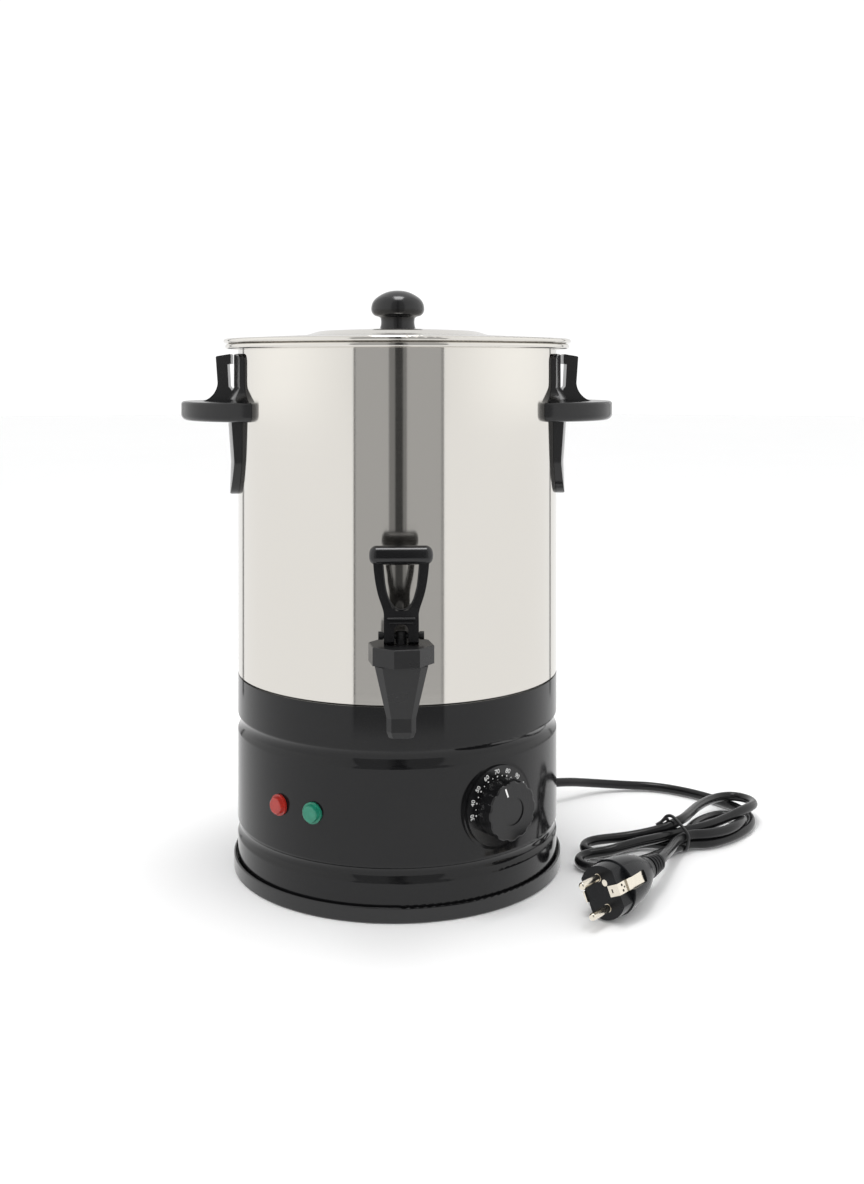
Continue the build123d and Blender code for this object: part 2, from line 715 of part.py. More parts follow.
with BuildPart() as handle_right:
    # plate and tongue, curved round the wall
    with BuildSketch(meridian_plane(-32)):
        with BuildLine():
            Polyline(
                (WALL_R, 265.0),
                (119.4, 265.0),
                (120.7, 266.2),
                (120.0, 288.0),
                (122.0, LEDGE_LOW),
                (122.6, 333.0),
                (PLATE_R, 341.0),
                (PLATE_R, HANDLE_TOP - 0.6),
                (PLATE_R - 0.6, HANDLE_TOP),
                (WALL_R, HANDLE_TOP),
                close=True,
            )
        make_face()
    revolve(axis=Axis.Z, revolution_arc=64)
    with BuildSketch(Plane.YZ.offset(90)):
        with BuildLine():
            Polyline((0, 265.0), (13.0, 265.0))
            Spline(
                (13.0, 265.0),
                (27.5, 271.0),
                (35.0, 284.5),
                (37.0, 300.0),
                tangents=((1, 0), (0, 1)),
            )
            Line((37.0, 300.0), (37.0, LEDGE_LOW + 1))
            Line((37.0, LEDGE_LOW + 1), (54.0, LEDGE_LOW + 1))
            Line((54.0, LEDGE_LOW + 1), (54.0, LEDGE_TOP - 1))
            ThreePointArc((54.0, LEDGE_TOP - 1), (46.0, 336.5), (42.6, 345.5))
            Line((42.6, 345.5), (42.6, HANDLE_TOP - 6))
            ThreePointArc(
                (42.6, HANDLE_TOP - 6),
                (42.6 - 1.76, HANDLE_TOP - 1.76),
                (36.6, HANDLE_TOP),
            )
            Polyline((36.6, HANDLE_TOP), (0, HANDLE_TOP), (0, 265.0))
        make_face()
        mirror(about=Plane.YZ)
    extrude(amount=40, mode=Mode.INTERSECT)
    # the ledge that the hand holds: part of a disc with rounded rims
    with BuildSketch(Plane.XZ):
        with BuildLine():
            ledge_rim = LEDGE_CENTRE_X + LEDGE_R
            Line((LEDGE_CENTRE_X, LEDGE_LOW), (ledge_rim - 4.5, LEDGE_LOW))
            ThreePointArc(
                (ledge_rim - 4.5, LEDGE_LOW),
                (ledge_rim - 1.32, LEDGE_LOW + 1.32),
                (ledge_rim, LEDGE_LOW + 4.5),
            )
            Line((ledge_rim, LEDGE_LOW + 4.5), (ledge_rim, LEDGE_TOP - 2))
            ThreePointArc(
                (ledge_rim, LEDGE_TOP - 2),
                (ledge_rim - 0.59, LEDGE_TOP - 0.59),
                (ledge_rim - 2, LEDGE_TOP),
            )
            Line((ledge_rim - 2, LEDGE_TOP), (LEDGE_CENTRE_X, LEDGE_TOP))
            Line((LEDGE_CENTRE_X, LEDGE_TOP), (LEDGE_CENTRE_X, LEDGE_LOW))
        make_face()
    revolve(axis=Axis((LEDGE_CENTRE_X, 0, 0), (0, 0, 1)))
    # the upright with its hook
    with BuildSketch(Plane.XZ):
        with BuildLine():
            Polyline(
                (119.5, 325.0),
                (119.5, 338.5),
            )
            ThreePointArc((119.5, 338.5), (120.4, 340.2), (121.6, 341.5))
            Polyline(
                (121.6, 341.5),
                (UPRIGHT_IN, 357.4),
                (120.1, 357.8),
                (120.1, 364.0),
                (120.7, 364.9),
                (130.2, 363.3),
                (130.8, 362.6),
                (129.5, 344.0),
            )
            ThreePointArc((129.5, 344.0), (132.9, 335.6), (141.0, LEDGE_TOP - 0.2))
            Polyline((141.0, LEDGE_TOP - 0.2), (141.0, 325.0), (119.5, 325.0))
        make_face()
    extrude(amount=UPRIGHT_HALF, both=True)
    for spread in (-15, 15):
        with BuildSketch(radial_plane(90 + spread, 324.3, 112.0)):
            Circle(4.0)
        extrude(amount=15, mode=Mode.SUBTRACT)
    with BuildSketch(Plane.XY.offset(LEDGE_LOW - 5)):
        Circle(WALL_R)
    extrude(amount=30, mode=Mode.SUBTRACT)
finish(handle_right.part, "handle_right")

with BuildPart() as handle_left:
    add(handle_right.part.rotate(Axis.Z, 180))
finish(handle_left.part, "handle_left")

with BuildPart() as handle_inserts:
    for handle_side in (90, -90):
        for spread in (-15, 15):
            with BuildSketch(radial_plane(handle_side + spread, 324.3, 115.3)):
                Circle(3.95)
                Circle(2.5, mode=Mode.SUBTRACT)
            extrude(amount=11)
finish(handle_inserts.part, "handle_inserts")

with BuildPart() as handle_seal_washers:
    for handle_side in (90, -90):
        for spread in (-15, 15):
            with BuildSketch(radial_plane(handle_side + spread, 324.3, 112.9)):
                Circle(6.0)
                Circle(2.6, mode=Mode.SUBTRACT)
            extrude(amount=1.0)
finish(handle_seal_washers.part, "handle_seal_washers")

with BuildPart() as handle_screws:
    for handle_side in (90, -90):
        for spread in (-15, 15):
            with BuildSketch(radial_plane(handle_side + spread, 324.3, 109.6)):
                Circle(4.6)
            extrude(amount=3.2)
            with BuildSketch(radial_plane(handle_side + spread, 324.3, 112.0)):
                Circle(2.45)
            extrude(amount=13.5)
            with BuildSketch(radial_plane(handle_side + spread, 324.3, 109.6)):
                Rectangle(6, 1)
                Rectangle(1, 6)
            extrude(amount=1.4, mode=Mode.SUBTRACT)
finish(handle_screws.part, "handle_screws")

# ---- tap ----
CHAMBER_R = 10.5
OUTLET_R = 5.0
SHANK_R = 8.0
SHANK_BORE_R = 4.5
NECK_R = 13.0
tap_level = Plane(origin=(0, TAP_Y, 0), x_dir=(1, 0, 0), z_dir=(0, 0, 1))


def spout_section(height, half, corner):
    """A square with cut corners, across the tap's axis."""
    with BuildSketch(tap_level.offset(height)) as section:
        Rectangle(2 * half, 2 * half)
        chamfer(section.vertices(), corner)
    return section.sketch


with BuildPart() as tap_body:
    add(spout_section(SPOUT_TOP_Z, 16.1, 4.5))
    add(spout_section(142.7, 9.0, 2.9))
    loft()
    add(spout_section(142.7, 9.0, 2.9))
    add(spout_section(134.5, 9.0, 2.9))
    loft()
    add(spout_section(134.5, 9.0, 2.9))
    add(spout_section(SPOUT_TIP_Z, 7.6, 2.5))
    loft()
    with BuildSketch(tap_level.offset(SPOUT_TOP_Z)):
        Circle(NECK_R)
    extrude(amount=7.8)
    with BuildSketch(radial_plane(0, SHANK_Z, 100.0)):
        Circle(SHANK_R)
    extrude(amount=44)
    with BuildSketch(radial_plane(0, SHANK_Z, BODY_R + 1.7)):
        Circle(12.5)
    extrude(amount=3.5)
    with BuildSketch(tap_level.offset(SEAT_Z - 1)):
        Circle(CHAMBER_R)
    extrude(amount=40, mode=Mode.SUBTRACT)
    with BuildSketch(tap_level.offset(SEAT_Z - 1)):
        Circle(OUTLET_R + 1.6)
    extrude(amount=1.0)
    with BuildSketch(tap_level.offset(SPOUT_TIP_Z - 1)):
        Circle(OUTLET_R)
    extrude(amount=40, mode=Mode.SUBTRACT)
    with BuildSketch(radial_plane(0, SHANK_Z, 99.0)):
        Circle(SHANK_BORE_R)
    extrude(amount=50, mode=Mode.SUBTRACT)
finish(tap_body.part, "tap_body")

bonnet_level = tap_level.rotated((0, 0, BONNET_TURN))
with BuildPart() as tap_bonnet:
    with BuildSketch(bonnet_level.offset(SPOUT_TOP_Z + 0.2)):
        RegularPolygon(radius=BONNET_R, side_count=8, rotation=22.5)
    extrude(amount=BONNET_TOP_Z - SPOUT_TOP_Z - 0.2)
    chamfer(tap_bonnet.faces().sort_by(Axis.Z)[-1].edges(), 0.5)
    with BuildSketch(tap_level.offset(SPOUT_TOP_Z)):
        Circle(NECK_R + 0.1)
    extrude(amount=8.2, mode=Mode.SUBTRACT)
    with BuildSketch(tap_level.offset(SPOUT_TOP_Z)):
        Circle(3.55)
    extrude(amount=20, mode=Mode.SUBTRACT)
finish(tap_bonnet.part, "tap_bonnet")

with BuildPart() as tap_outer_washer:
    with BuildSketch(radial_plane(0, SHANK_Z, BODY_R + 0.1)):
        Circle(12.0)
        Circle(SHANK_R + 0.1, mode=Mode.SUBTRACT)
    extrude(amount=1.5)
finish(tap_outer_washer.part, "tap_outer_washer")

with BuildPart() as tap_inner_washer:
    with BuildSketch(radial_plane(0, SHANK_Z, 112.0)):
        Circle(11.5)
        Circle(SHANK_R + 0.1, mode=Mode.SUBTRACT)
    extrude(amount=1.5)
finish(tap_inner_washer.part, "tap_inner_washer")

with BuildPart() as tap_shank_nut:
    with BuildSketch(radial_plane(0, SHANK_Z, 104.0)):
        RegularPolygon(radius=13.0, side_count=6)
        Circle(SHANK_R + 0.02, mode=Mode.SUBTRACT)
    extrude(amount=7.9)
finish(tap_shank_nut.part, "tap_shank_nut")

STEM_R = 3.5
PIVOT_R = 1.9
FORK_HALF = 10.6
STEM_TOP = PIVOT_Z + 3.2
with BuildPart() as tap_stem:
    with BuildSketch(tap_level.offset(SEAT_Z + 1.2)):
        Circle(2.5)
    extrude(amount=8)
    with BuildSketch(tap_level.offset(SEAT_Z + 6.5)):
        Circle(STEM_R)
    extrude(amount=STEM_TOP - SEAT_Z - 6.5)
    fillet(tap_stem.faces().sort_by(Axis.Z)[-1].edges(), 1.2)
    with BuildSketch(Plane.YZ.offset(-10)):
        with Locations((TAP_Y, PIVOT_Z)):
            Circle(PIVOT_R + 0.02)
    extrude(amount=20, mode=Mode.SUBTRACT)
finish(tap_stem.part, "tap_stem")

with BuildPart() as tap_seat_cup:
    with BuildSketch(tap_level.offset(SEAT_Z + 0.1)):
        Circle(8.4)
    extrude(amount=6.2)
    with BuildSketch(tap_level.offset(SEAT_Z + 1.1)):
        Circle(2.55)
    extrude(amount=8, mode=Mode.SUBTRACT)
    fillet(tap_seat_cup.faces().sort_by(Axis.Z)[0].edges(), 1.0)
finish(tap_seat_cup.part, "tap_seat_cup")

with BuildPart() as tap_pivot_pin:
    with BuildSketch(Plane.YZ.offset(-14)):
        with Locations((TAP_Y, PIVOT_Z)):
            Circle(PIVOT_R)
    extrude(amount=28)
    for head_start in (-14, FORK_HALF + 0.6):
        with BuildSketch(Plane.YZ.offset(head_start)):
            with Locations((TAP_Y, PIVOT_Z)):
                Circle(2.5)
        extrude(amount=14 - FORK_HALF - 0.6)
finish(tap_pivot_pin.part, "tap_pivot_pin")

SPRING_LOW = SEAT_Z + 6.6
SPRING_HIGH = SPOUT_TOP_Z + 7.6
SPRING_WIRE_R = 0.6
SPRING_R = 5.4
SPRING_TURNS = 5
spring_rise = SPRING_HIGH - SPRING_LOW - 2 * SPRING_WIRE_R
spring_origin = Vector(0, TAP_Y, SPRING_LOW + SPRING_WIRE_R)
with BuildPart() as tap_spring:
    with BuildLine():
        coil = Helix(
            pitch=spring_rise / SPRING_TURNS,
            height=spring_rise,
            radius=SPRING_R,
            center=spring_origin,
        )
    with BuildSketch(Plane(origin=coil @ 0, z_dir=coil % 0)):
        Circle(SPRING_WIRE_R)
    sweep(is_frenet=True)
finish(tap_spring.part, "tap_spring")

# lever: a loop grip above, and a fork with a cam heel that rolls on the bonnet and lifts the stem
CAM_LOW = PIVOT_Z - BONNET_TOP_Z - RUN_GAP
CAM_RISE = STEM_LIFT / radians(LEVER_TRAVEL)  # lift per radian


def cam_point(turn):
    """The involute heel's point that touches the bonnet when the lever has turned this far."""
    a = radians(turn)
    reach = CAM_LOW + CAM_RISE * a
    across = -reach * sin(a) - CAM_RISE * cos(a)
    return (TAP_Y + across, PIVOT_Z - reach * cos(a) + CAM_RISE * sin(a))


BAR_Z_MID = LEVER_TOP_Z - 5.9
BAR_Y = TAP_Y + 3.0
BAR_R = 5.9
BAR_HALF = 19.7
BAR_END_R = 4.5

with BuildPart() as tap_lever:
    with BuildSketch(Plane.XZ):
        with BuildLine():
            Polyline((0, PIVOT_Z - 8), (FORK_HALF, PIVOT_Z - 8), (FORK_HALF, 205.5))
            Spline(
                (FORK_HALF, 205.5),
                (13.6, 215.0),
                (16.4, 228.5),
                (17.2, 240.0),
                tangents=((0.2, 1), (0, 1)),
            )
            Polyline((17.2, 240.0), (0, 240.0), (0, PIVOT_Z - 8))
        make_face()
        with BuildLine():
            Line((0, 207.2), (2.0, 207.2))
            Spline(
                (2.0, 207.2),
                (7.8, 214.0),
                (10.3, 224.0),
                (11.0, 236.0),
                tangents=((1, 0.15), (0, 1)),
            )
            Polyline((11.0, 236.0), (0, 236.0), (0, 207.2))
        make_face(mode=Mode.SUBTRACT)
        with BuildLine():
            Line((0, PIVOT_Z - 9), (4.35, PIVOT_Z - 9))
            Line((4.35, PIVOT_Z - 9), (4.35, 195.6))
            ThreePointArc((4.35, 195.6), (3.08, 198.68), (0, 199.95))
            Line((0, 199.95), (0, PIVOT_Z - 9))
        make_face(mode=Mode.SUBTRACT)
        mirror(about=Plane.YZ)
    extrude(amount=-TAP_Y + 20)
    with BuildSketch(Plane.YZ.offset(-30)):
        with BuildLine():
            cam_start = cam_point(0)
            cam_end = cam_point(LEVER_TRAVEL)
            ThreePointArc(cam_start, cam_point(LEVER_TRAVEL / 2), cam_end)
            Polyline(
                cam_end,
                (TAP_Y - 8.0, 192.0),
                (TAP_Y - 7.4, 199.5),
                (TAP_Y - 6.2, 203.6),
                (TAP_Y - 3.2, 209.0),
                (TAP_Y - 0.8, 236.0),
                (TAP_Y + 6.8, 236.0),
                (TAP_Y + 4.6, 209.0),
                (TAP_Y + 5.2, 189.0),
                (TAP_Y + 3.6, PIVOT_Z - CAM_LOW),
                cam_start,
            )
        make_face()
    extrude(amount=60, mode=Mode.INTERSECT)
    with BuildSketch(Plane(origin=(0, BAR_Y, BAR_Z_MID), x_dir=(1, 0, 0), z_dir=(0, -1, 0))):
        with BuildLine():
            straight = BAR_HALF - BAR_END_R
            flat = BAR_R - BAR_END_R
            corner = BAR_END_R * sin(radians(45))
            Line((-BAR_HALF, 0), (-BAR_HALF, flat))
            ThreePointArc((-BAR_HALF, flat), (-straight - corner, flat + corner), (-straight, BAR_R))
            Line((-straight, BAR_R), (straight, BAR_R))
            ThreePointArc((straight, BAR_R), (straight + corner, flat + corner), (BAR_HALF, flat))
            Polyline((BAR_HALF, flat), (BAR_HALF, 0), (-BAR_HALF, 0))
        make_face()
    revolve(axis=Axis((0, BAR_Y, BAR_Z_MID), (1, 0, 0)))
    with BuildSketch(Plane.YZ.offset(-20)):
        with Locations((TAP_Y, PIVOT_Z)):
            Circle(PIVOT_R + 0.06)
    extrude(amount=40, mode=Mode.SUBTRACT)
finish(tap_lever.part, "tap_lever")

# ---- plug: round two-pin earthed plug lying on the surface ----
PLUG_FACE = Vector(129.7, -118.2, 18.2)
PLUG_DIR = Vector(0.674, 0.7387, 0)  # from the face towards the cord
PIN_TILT = 24.0
PIN_R = 2.4
PIN_ROOT_R = 2.6  # the thicker root moulded into the body
PIN_SPACING = 19.0
PIN_LENGTH = 19.0
NOSE_R = 17.0  # the part that enters a socket
NOSE_LENGTH = 11.0
FLAT_HALF = 12.9  # from the axis to the flats that carry the earth clips
CLIP_WIDTH = 7.0
CLIP_T = 1.2
GROOVE_END = 29.5
RELIEF_START = 54.1
RELIEF_LENGTH = 16.0
plug_level = Vector(PLUG_DIR.Y, -PLUG_DIR.X, 0)
plug_plane = Plane(
    origin=PLUG_FACE,
    x_dir=plug_level * cos(radians(PIN_TILT)) + Vector(0, 0, sin(radians(PIN_TILT))),
    z_dir=PLUG_DIR * -1,
)


def behind_face(depth):
    """A plane across the plug, this far behind its face, looking out of the face."""
    return plug_plane.offset(-depth)


def on_axis(depth):
    """The point on the plug's axis this far behind its face."""
    return PLUG_FACE + PLUG_DIR * depth


with BuildPart() as plug_body:
    with BuildSketch(Plane(origin=PLUG_FACE, x_dir=PLUG_DIR, z_dir=plug_level)):
        with BuildLine():
            Polyline(
                (RELIEF_START - 0.1, 0),
                (NOSE_LENGTH, 0),
                (NOSE_LENGTH, 17.3),
                (NOSE_LENGTH + 0.6, 17.9),
            )
            Spline(
                (NOSE_LENGTH + 0.6, 17.9),
                (24, 16.6),
                (36, 14.1),
                (45, 10.7),
                (50, 8.4),
                (RELIEF_START - 0.1, 7.4),
            )
            Line((RELIEF_START - 0.1, 7.4), (RELIEF_START - 0.1, 0))
        make_face()
    revolve(axis=Axis(PLUG_FACE, PLUG_DIR))
    with BuildSketch(behind_face(0)):
        Circle(NOSE_R)
        Rectangle(2 * FLAT_HALF, 2 * NOSE_R, mode=Mode.INTERSECT)
    extrude(amount=-NOSE_LENGTH)
    with BuildSketch(behind_face(NOSE_LENGTH - 1)):
        with Locations((FLAT_HALF + 3, 0), (-FLAT_HALF - 3, 0)):
            Rectangle(6.0, CLIP_WIDTH + 0.6)
    extrude(amount=NOSE_LENGTH - 1 - GROOVE_END, mode=Mode.SUBTRACT)
    with BuildSketch(behind_face(0)):
        with Locations((0, PIN_SPACING / 2), (0, -PIN_SPACING / 2)):
            Circle(PIN_ROOT_R + 0.02)
    extrude(amount=-16, mode=Mode.SUBTRACT)
    with BuildSketch(behind_face(0)):
        with Locations((3.8, 5.5)):
            Circle(2.3)
    extrude(amount=-12, mode=Mode.SUBTRACT)
finish(plug_body.part, "plug_body")

with BuildPart() as plug_pins:
    with BuildSketch(behind_face(15.5)):
        with Locations((0, PIN_SPACING / 2), (0, -PIN_SPACING / 2)):
            Circle(PIN_ROOT_R)
    extrude(amount=15.5)
    with BuildSketch(behind_face(0)):
        with Locations((0, PIN_SPACING / 2), (0, -PIN_SPACING / 2)):
            Circle(PIN_R)
    extrude(amount=PIN_LENGTH)
    for tip in plug_pins.faces().filter_by(GeomType.PLANE).group_by(Axis(PLUG_FACE, PLUG_DIR * -1))[-1]:
        fillet(tip.edges(), 1.6)
finish(plug_pins.part, "plug_pins")

# two sprung strips along the flats; the near one is folded over the face
with BuildPart() as plug_earth_clips:
    for side, fold in ((1, 8.0), (-1, 1.2)):
        with BuildSketch(behind_face(-CLIP_T)):
            with Locations((side * (FLAT_HALF + 0.05 + CLIP_T / 2), 0)):
                Rectangle(CLIP_T, CLIP_WIDTH)
        extrude(amount=-GROOVE_END - CLIP_T + 0.5)
        with BuildSketch(behind_face(-CLIP_T)):
            with Locations((side * (FLAT_HALF + 0.05 + CLIP_T - fold / 2), 0)):
                Rectangle(fold, CLIP_WIDTH)
        extrude(amount=-CLIP_T + 0.05)
        with BuildSketch(behind_face(8.5)):
            with Locations((side * (FLAT_HALF + CLIP_T + 0.4), 0)):
                Rectangle(1.4, CLIP_WIDTH)
        extrude(amount=-4.5)
finish(plug_earth_clips.part, "plug_earth_clips")

RELIEF_RIBS = 4
with BuildPart() as plug_strain_relief:
    with BuildSketch(behind_face(RELIEF_START)):
        Circle(6.9)
    with BuildSketch(behind_face(RELIEF_START + RELIEF_LENGTH)):
        Circle(4.7)
    loft()
    for rib in range(RELIEF_RIBS):
        with BuildSketch(behind_face(RELIEF_START + 1.4 + 3.8 * rib)):
            Circle(7.5 - 0.55 * rib)
        extrude(amount=-2.0)
finish(plug_strain_relief.part, "plug_strain_relief")

# ---- mains cord: free stretch, tied hank, lead to the plug ----
SUPPLY_ROUTE = [
    tuple(cord_exit),
    tuple(cord_exit + gland_out * 24),
    (139.0, 117.5, 15.0),
    (164.0, 133.5, 8.5),
    (190.0, 139.8, 4.6),
    (219.5, 137.3, 3.7),
    (247.0, 118.0, 3.7),
    (266.5, 93.0, 3.7),
]
LEAD_ROUTE = [
    (205.5, 1.0, 6.0),
    (197.0, -21.0, 9.5),
    (187.5, -43.0, 14.5),
    tuple(on_axis(RELIEF_START + RELIEF_LENGTH + 1)),
    tuple(on_axis(RELIEF_START + 0.1)),
]
TIE_AT = Vector(206.5, 2.5, 0)
TIE_DIR = Vector(0.84, 0.54, 0)


def cord_tube(points):
    """A plain tube along straight runs joined by arcs as large as the runs allow."""
    start = Vector(*points[0])
    with BuildPart() as tube:
        with BuildLine() as path:
            FilletPolyline(*points, radius=route_radii(points))
        with BuildSketch(Plane(origin=start, z_dir=Vector(*points[1]) - start)):
            Circle(CORD_D / 2)
        sweep()
    length = path.wires()[0].length
    expected = pi * CORD_D**2 / 4 * length
    radii = [round(r) for r in route_radii(points)]
    print(f"cord stretch {length:.1f} mm, volume / section x length {tube.part.volume / expected:.4f}")
    print("bend radii", radii)
    return tube.part


finish(cord_tube(SUPPLY_ROUTE), "power_cord")

finish(cord_tube(LEAD_ROUTE), "plug_lead")

with BuildPart() as cord_hank:
    # left turns
    with BuildSketch(Plane.XY.offset(0.1)):
        with BuildLine():
            Spline(
                (203.5, 9.3),
                (178.0, 12.5),
                (150.0, 0.0),
                (131.0, -20.0),
                (124.0, -33.0),
                (133.0, -37.5),
                (158.0, -36.5),
                (184.0, -24.5),
                (209.0, -3.0),
            )
            Line((209.0, -3.0), (203.5, 9.3))
        make_face()
    extrude(amount=15.5)
    # right turns
    with BuildSketch(Plane.XY.offset(0.1)):
        with BuildLine():
            Spline(
                (203.5, 9.3),
                (222.0, 42.0),
                (246.0, 73.0),
                (267.5, 92.0),
                (283.0, 82.0),
                (285.0, 62.0),
                (276.0, 40.0),
                (250.0, 12.0),
                (228.0, -1.5),
                (209.0, -5.0),
            )
            Line((209.0, -5.0), (203.5, 9.3))
        make_face()
    extrude(amount=17.0)
finish(cord_hank.part, "cord_hank")

tie_plane = Plane(origin=TIE_AT, x_dir=(-TIE_DIR.Y, TIE_DIR.X, 0), z_dir=TIE_DIR)
with BuildPart() as cord_tie:
    with BuildSketch(tie_plane.offset(-1.0)):
        with Locations((0, 11.0)):
            RectangleRounded(19.0, 21.6, 6)
            RectangleRounded(16.0, 18.6, 4.6, mode=Mode.SUBTRACT)
    extrude(amount=2.0)
finish(cord_tie.part, "cord_tie")

print("pieces", len(os.listdir("parts")))
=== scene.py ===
"""A countertop hot-water boiler on a pale floor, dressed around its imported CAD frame."""

import json
from math import cos, radians, sin

import bmesh
import bpy
from mathutils import Matrix, Vector


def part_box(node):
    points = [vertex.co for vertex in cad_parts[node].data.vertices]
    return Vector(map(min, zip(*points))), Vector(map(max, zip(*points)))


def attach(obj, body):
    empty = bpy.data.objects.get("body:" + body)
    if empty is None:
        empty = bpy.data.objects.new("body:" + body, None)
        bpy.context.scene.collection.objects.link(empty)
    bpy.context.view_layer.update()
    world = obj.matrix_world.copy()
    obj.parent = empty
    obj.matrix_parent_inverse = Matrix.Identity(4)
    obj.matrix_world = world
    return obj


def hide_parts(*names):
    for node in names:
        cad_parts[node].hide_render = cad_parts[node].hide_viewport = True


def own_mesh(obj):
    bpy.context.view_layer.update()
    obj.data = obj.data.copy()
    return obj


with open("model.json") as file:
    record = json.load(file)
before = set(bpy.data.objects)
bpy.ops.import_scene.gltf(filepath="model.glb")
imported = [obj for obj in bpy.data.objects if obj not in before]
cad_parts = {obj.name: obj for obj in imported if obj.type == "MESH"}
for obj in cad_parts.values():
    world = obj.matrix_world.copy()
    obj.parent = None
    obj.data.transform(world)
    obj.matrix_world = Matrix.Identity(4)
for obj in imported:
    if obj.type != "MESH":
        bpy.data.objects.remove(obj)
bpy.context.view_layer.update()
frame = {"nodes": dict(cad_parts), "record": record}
MM = 0.001

# ---- places taken from the frame ----
scale_low, scale_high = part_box("thermostat_scale")
DIAL_AZ = 34.3  # degrees from the tap towards +X
DIAL_Z = (scale_low[2] + scale_high[2]) / 2
SCALE_FACE = 115.9 * MM  # distance of the printed face from the vessel's axis
KNOB_FACE = 130.0 * MM  # and of the knob's face
FIGURE_START = 188.5  # the first figure, in degrees counterclockwise from the dial's right
FIGURE_STEP = 23.5
FIGURE_SIZE = 4.2 * MM
FIGURE_RADIUS = 22.6 * MM
DOT_COUNT = 15
DOT_RADIUS = 19.5 * MM  # the ring that the dots stand on
BIG_DOT = 0.55  # the dots' radii, in millimetres
SMALL_DOT = 0.4
INK_LIFT = 0.00005
POINTER_ANGLE = 112.0  # counterclockwise from the dial's right
POINTER_RADIUS = 13.8 * MM
POINTER_LIFT = 0.00003
POINTER_SIZE = (0.0011, 0.0060, 0.00008)  # across, along and thick


# ---- camera ----
CAMERA_PLACE = (-0.0130, -0.9547, 0.3559)
CAMERA_TURN = -2.1  # degrees about +Z, from looking along +Y


def add_camera():
    """A level camera a little above the boiler, with the frame shifted down to the object."""
    data = bpy.data.cameras.new("camera")
    data.lens = 39.88
    data.sensor_width = 36.0
    data.shift_x = 0.0034
    data.shift_y = -0.1905
    camera = bpy.data.objects.new("camera", data)
    camera.location = CAMERA_PLACE
    camera.rotation_euler = (radians(90), 0, radians(CAMERA_TURN))
    bpy.context.collection.objects.link(camera)
    bpy.context.scene.camera = camera


add_camera()

# ---- mains cord: one line from the gland through the tied hank to the plug (millimetres) ----
CORD_D = 7.0 * MM
PLUG_FACE = Vector((129.7, -118.2, 18.2))
PLUG_DIR = Vector((0.674, 0.7387, 0)).normalized()  # from the face towards the cord
PIN_TILT = radians(24)
TIE_AT = Vector((206.5, 2.5, 0))
TIE_DIR = Vector((0.841, 0.541, 0))
TIE_SIDE = Vector((-0.541, 0.841, 0))
SUPPLY = [
    (93.0, 86.5, 17.5),
    (110.6, 102.8, 17.5),
    (139.0, 117.5, 15.0),
    (164.0, 133.5, 8.5),
    (190.0, 139.8, 4.6),
    (219.5, 137.3, 3.7),
    (247.0, 118.0, 3.7),
    (266.5, 93.0, 3.7),
]
FIRST_RIGHT = [(275, 76, 3.7), (276.5, 56, 3.7), (268, 36, 3.7), (250, 17, 3.7), (229, 3.5, 4.0)]
FIRST_LEFT = [
    (180, -22.5, 3.7),
    (163, -32, 3.7),
    (150, -37.0, 3.7),
    (142.5, -39.4, 3.7),
    (135.3, -38.8, 3.8),
    (130.0, -34.9, 4.2),
    (128.0, -28.8, 4.8),
    (130.0, -22.7, 5.4),
    (135.3, -18.9, 6.1),
    (142.5, -18.5, 7.0),
    (151, -18.9, 8.4),
    (161, -17.0, 10.4),
    (175, -11.5, 11.8),
    (188, -6.0, 12.0),
]
SECOND_RIGHT = [
    (230, 15.5, 12.8),
    (248, 28, 14.0),
    (263, 38.5, 16.2),
    (274, 50, 15.6),
    (280.5, 65, 13.0),
    (279.5, 80, 11.6),
    (270.5, 89.5, 10.9),
    (259, 87.5, 10.9),
    (247, 77, 11.6),
    (234, 58, 13.6),
    (222, 34, 16.4),
    (214.5, 19, 18.0),
    (206.5, 9.8, 18.2),
]
SECOND_LEFT = [
    (196, 8.2, 14.0),
    (185, 8.9, 11.0),
    (173, 9.2, 8.8),
    (163, 8.6, 7.8),
    (153, 7.8, 7.2),
    (144.5, 7.0, 6.5),
    (138.3, 3.4, 5.8),
    (135.6, -2.6, 5.2),
    (137.2, -9.0, 4.6),
    (142.6, -12.8, 4.1),
    (149.6, -12.0, 3.8),
    (156, -6.8, 3.8),
    (162, -1.6, 3.8),
    (169, 1.6, 3.8),
    (182, 7, 4.4),
]
THIRD_RIGHT = [
    (221, 27, 8.2),
    (231, 43.5, 6.6),
    (242, 58, 4.6),
    (252, 65, 4.2),
    (261.5, 62, 4.8),
    (266, 52.5, 6.4),
    (265, 42, 8.4),
    (260, 31.0, 10.2),
    (253, 20, 10.8),
    (243, 11, 10.9),
    (228, 3.5, 11.4),
    (214.5, 2.5, 11.6),
]
LEAD = [
    (206.5, -4.0, 11.4),
    (200.0, -14.0, 11.8),
    (194.0, -28.0, 12.8),
    (187.5, -43.0, 15.0),
    (177.6, -65.8, 18.2),
    (166.2, -78.2, 18.2),
]


HALF_PASS = 8  # how far each side of the tie a strand runs straight


def at_tie(side, height, leftward):
    """Two points along the tie's direction, so that the line passes squarely through it."""
    middle = TIE_AT + TIE_SIDE * side + Vector((0, 0, height))
    step = TIE_DIR * (-HALF_PASS if leftward else HALF_PASS)
    return [tuple(middle - step), tuple(middle + step)]


